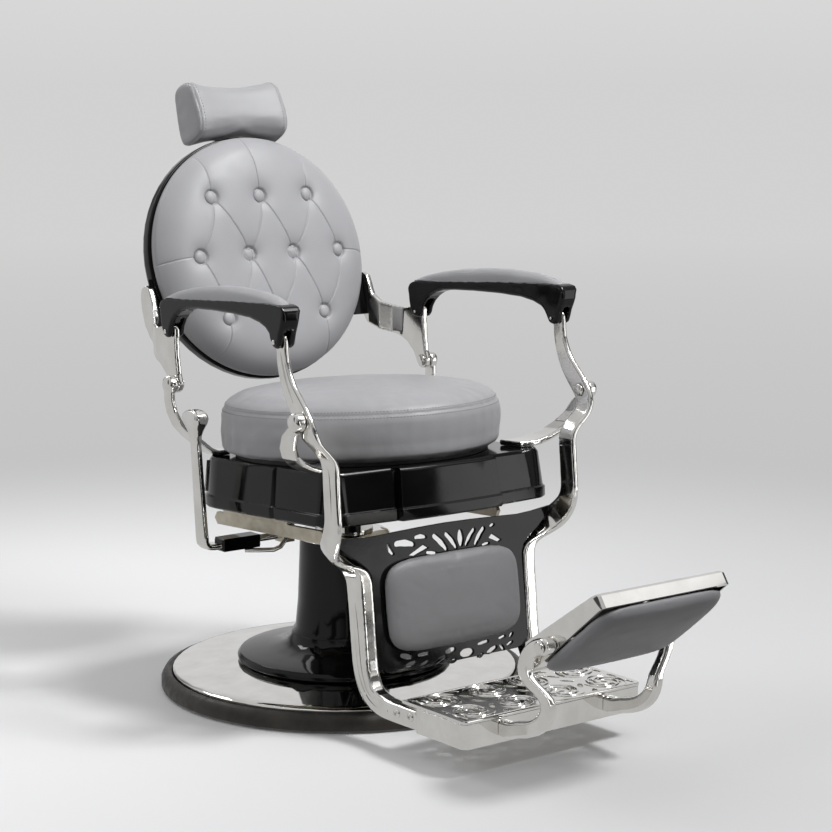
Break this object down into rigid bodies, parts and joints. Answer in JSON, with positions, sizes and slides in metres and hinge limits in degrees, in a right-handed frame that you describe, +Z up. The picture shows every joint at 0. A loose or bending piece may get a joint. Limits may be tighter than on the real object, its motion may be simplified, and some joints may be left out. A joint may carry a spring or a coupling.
{
  "type": "barber chair",
  "caption": "Traditional barber chair: round tufted back and seat, sliding headrest, linked armrests and leg rest, flip-over footrest and pump lever on a round base.",
  "frame": {"origin": "centre of the base on the floor", "axes": "+Z up, the chair faces -Y, +X is the sitter's left"},
  "size_m": [0.7, 1.3057, 1.14],
  "materials": {
    "upholstery": "satin",
    "black_gloss": "gloss",
    "black_metal": "gloss",
    "chrome": "polished",
    "rubber": "satin",
    "zinc_steel": "satin",
    "board": "matte"
  },
  "bodies": {
    "base": {"base_foot": "rubber", "base_plate": "chrome", "base_skirt": "black_gloss", "column_sleeve": "black_gloss", "column_collar": "chrome"},
    "piston": {"piston": "chrome"},
    "seat": {"swivel_hub": "zinc_steel", "mount_plate": "zinc_steel", "mount_bar_left": "zinc_steel", "mount_bar_right": "zinc_steel", "seat_rail_left": "zinc_steel", "seat_rail_right": "zinc_steel", "seat_frame": "black_gloss", "seat_pan": "board", "seat_cushion": "upholstery", "rear_strip_left": "chrome", "rear_strip_right": "chrome", "rear_bracket_left": "chrome", "rear_bracket_right": "chrome", "front_bracket_left": "chrome", "front_bracket_right": "chrome", "pivot_screw_rear_left": "chrome", "pivot_screw_rear_right": "chrome", "pivot_screw_front_left": "chrome", "pivot_screw_front_right": "chrome", "pump_bearing": "zinc_steel"},
    "back": {"back_shell": "black_gloss", "back_cushion": "upholstery", "back_lug_left": "black_gloss", "back_lug_right": "black_gloss", "back_arm_left": "chrome", "back_arm_right": "chrome", "headrest_guide": "black_gloss", "headrest_knob": "black_gloss"},
    "headrest": {"headrest_cushion": "upholstery", "headrest_post": "chrome"},
    "arm_left": {"arm_frame_left": "black_gloss", "arm_pad_left": "upholstery", "arm_pin_rear_left": "chrome", "arm_pin_front_left": "chrome"},
    "arm_right": {"arm_frame_right": "black_gloss", "arm_pad_right": "upholstery", "arm_pin_rear_right": "chrome", "arm_pin_front_right": "chrome"},
    "legrest": {"front_lever_left": "chrome", "front_lever_right": "chrome", "leg_panel": "black_metal", "leg_pad": "upholstery", "footplate_frame": "chrome", "footplate_grille": "chrome", "gooseneck_left": "chrome", "gooseneck_right": "chrome"},
    "flip_footrest": {"flip_tray": "chrome", "flip_pad": "upholstery", "flip_bolt_left": "chrome", "flip_bolt_right": "chrome"},
    "pump_lever": {"pump_lever": "chrome", "lever_clamp": "black_metal", "pump_shaft": "chrome", "lever_rod": "chrome"}
  },
  "joints": [
    {"name": "lift", "type": "slide", "parent": "base", "child": "piston", "axis": [0, 0, 1], "range_m": [0, 0.14]},
    {"name": "swivel", "type": "hinge", "parent": "piston", "child": "seat", "pos_m": [0, 0, 0.327], "axis": [0, 0, 1], "continuous": true},
    {"name": "recline", "type": "hinge", "parent": "seat", "child": "back", "pos_m": [0, 0.1225, 0.5875], "axis": [-1, 0, 0], "range_deg": [0, 36]},
    {"name": "legrest_tilt", "type": "hinge", "parent": "seat", "child": "legrest", "pos_m": [0, -0.3202, 0.574], "axis": [-1, 0, 0], "range_deg": [0, 30]},
    {"name": "arm_left_pivot", "type": "hinge", "parent": "back", "child": "arm_left", "pos_m": [0.29, 0.131, 0.6855], "axis": [-1, 0, 0], "range_deg": [-41, 0]},
    {"name": "arm_right_pivot", "type": "hinge", "parent": "back", "child": "arm_right", "pos_m": [-0.29, 0.131, 0.6855], "axis": [-1, 0, 0], "range_deg": [-41, 0]},
    {"name": "headrest_slide", "type": "slide", "parent": "back", "child": "headrest", "axis": [0, 0.2334, 0.9724], "range_m": [0, 0.1]},
    {"name": "footrest_flip", "type": "hinge", "parent": "legrest", "child": "flip_footrest", "pos_m": [0, -0.755, 0.25], "axis": [-1, 0, 0], "range_deg": [0, 140]},
    {"name": "pump_stroke", "type": "hinge", "parent": "seat", "child": "pump_lever", "pos_m": [-0.295, 0.035, 0.297], "axis": [1, 0, 0], "range_deg": [0, 25], "stiffness_Nm_per_rad": 12, "springref_deg": -14.32}
  ],
  "couplings": [
    {"joint": "legrest_tilt", "follows": "recline", "ratio": 0.805},
    {"joint": "arm_left_pivot", "follows": "recline", "ratio": -1.1},
    {"joint": "arm_right_pivot", "follows": "recline", "ratio": -1.1}
  ]
}
